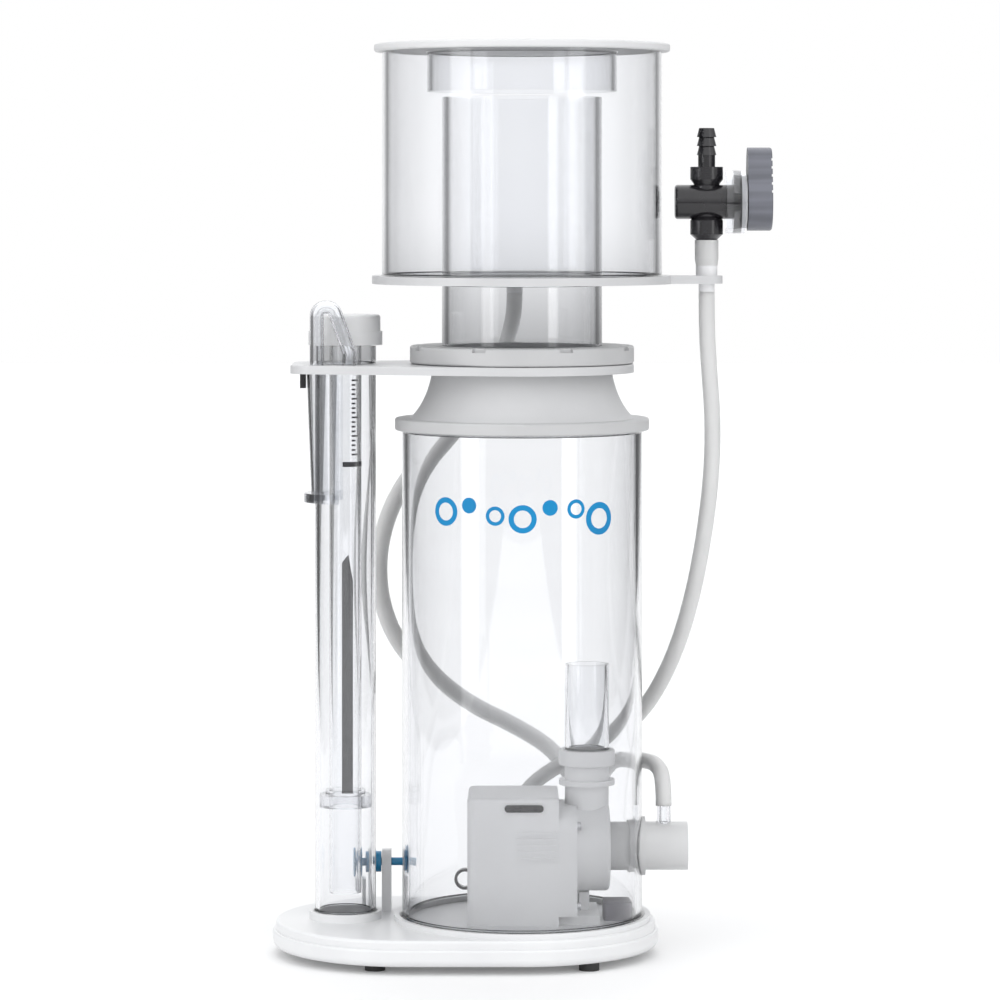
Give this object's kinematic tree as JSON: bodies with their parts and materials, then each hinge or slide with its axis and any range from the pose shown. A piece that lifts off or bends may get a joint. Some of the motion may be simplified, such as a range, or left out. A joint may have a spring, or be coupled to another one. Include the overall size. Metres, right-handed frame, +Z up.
{
  "type": "protein skimmer",
  "caption": "In-sump protein skimmer: clear reaction chamber on a white base, needle-wheel pump, riser with level pipe, lift-off cup with lid, and an air valve on a hose.",
  "frame": {"origin": "on the reaction chamber's axis, at the surface the rubber feet stand on, which is the middle of the box's underside", "axes": "+Z up; +X towards the pump intake and the air valve, -X towards the riser; -Y is the front"},
  "size_m": [0.2492, 0.1794, 0.4537],
  "materials": {
    "clear_acrylic": "clear gloss",
    "white_plastic": "satin white",
    "frosted_acrylic": "frosted grey-white",
    "hose": "translucent silicone",
    "black_plastic": "glossy black",
    "grey_plastic": "satin grey",
    "blue_plastic": "gloss blue",
    "black_rubber": "matt",
    "ceramic": "polished ceramic",
    "magnet": "sealed ferrite",
    "laminations": "stacked steel",
    "copper_coil": "enamelled copper",
    "screw_steel": "stainless"
  },
  "bodies": {
    "root": {"chamber_tube": "clear_acrylic", "riser_tube": "clear_acrylic", "vent_loop": "clear_acrylic", "outlet_shroud": "clear_acrylic", "shroud_rim": "clear_acrylic", "bubble_tube": "clear_acrylic", "base_lower_plate": "white_plastic", "base_top_plate": "white_plastic", "chamber_base_ring": "white_plastic", "riser_bracket": "white_plastic", "screw_posts": "white_plastic", "intake_pipe": "white_plastic", "air_nipple": "white_plastic", "riser_socket": "white_plastic", "intake_seal": "white_plastic", "chamber_flange": "frosted_acrylic", "cone": "frosted_acrylic", "motor_housing": "frosted_acrylic", "pump_cover": "frosted_acrylic", "volute": "frosted_acrylic", "outlet_coupling": "frosted_acrylic", "air_hose": "hose", "motor_latch": "black_plastic", "shroud_clip": "black_plastic", "cable_clip": "black_plastic", "rotor_well": "black_plastic", "rubber_feet": "black_rubber", "volute_seal": "black_rubber", "pump_pad": "black_rubber", "shaft_bushes": "ceramic", "stator_core": "laminations", "stator_coil": "copper_coil", "cover_screws": "screw_steel"},
    "cup": {"cup_base_plate": "white_plastic", "cup_tube": "clear_acrylic", "neck_tube": "clear_acrylic", "neck_flange": "white_plastic", "neck_seal": "black_rubber", "drain_spout": "white_plastic", "drain_hose": "hose", "ear_nipple": "white_plastic", "valve_sleeve": "hose", "valve_body": "black_plastic", "valve_disc": "black_plastic", "valve_clear_ring": "clear_acrylic", "valve_dial": "white_plastic"},
    "lid": {"lid": "frosted_acrylic", "lid_ring": "clear_acrylic"},
    "lock_ring": {"lock_ring": "frosted_acrylic"},
    "valve_lever": {"valve_lever": "grey_plastic", "valve_plug": "black_plastic"},
    "level_guide": {"level_guide": "clear_acrylic"},
    "level_pipe": {"level_pipe": "clear_acrylic", "level_cap": "frosted_acrylic", "level_wedge": "black_plastic"},
    "impeller": {"rotor_magnet": "magnet", "rotor_shaft": "ceramic", "needle_wheel": "black_plastic"},
    "thumbscrew_collar": {"thumbscrew_collar": "blue_plastic"},
    "thumbscrew": {"thumbscrew": "blue_plastic"}
  },
  "joints": [
    {"name": "cup_lift", "type": "slide", "parent": "root", "child": "cup", "axis": [0, 0, 1], "range_m": [0, 0.06]},
    {"name": "lid_lift", "type": "slide", "parent": "cup", "child": "lid", "axis": [0, 0, 1], "range_m": [0, 0.03]},
    {"name": "lock_turn", "type": "hinge", "parent": "cup", "child": "lock_ring", "pos_m": [0, 0, 0.298], "axis": [0, 0, 1], "range_deg": [0, 40]},
    {"name": "valve_turn", "type": "hinge", "parent": "cup", "child": "valve_lever", "pos_m": [0.1187, 0, 0.3748], "axis": [1, 0, 0], "range_deg": [0, 90]},
    {"name": "level_slide", "type": "slide", "parent": "root", "child": "level_guide", "axis": [0, 0, 1], "range_m": [0, 0.012]},
    {"name": "level_turn", "type": "hinge", "parent": "level_guide", "child": "level_pipe", "pos_m": [-0.0883, 0, 0.2], "axis": [0, 0, 1], "range_deg": [0, 180]},
    {"name": "impeller_spin", "type": "hinge", "parent": "root", "child": "impeller", "pos_m": [0.01, 0, 0.053], "axis": [1, 0, 0], "continuous": true},
    {"name": "thumbscrew_feed", "type": "slide", "parent": "root", "child": "thumbscrew_collar", "axis": [-1, 0, 0], "range_m": [0, 0.003]},
    {"name": "thumbscrew_turn", "type": "hinge", "parent": "thumbscrew_collar", "child": "thumbscrew", "pos_m": [-0.08, 0.023, 0.0415], "axis": [-1, 0, 0], "range_deg": [0, 1080]}
  ],
  "couplings": [
    {"joint": "thumbscrew_turn", "follows": "thumbscrew_feed", "rad_per_m": 6283.2}
  ]
}
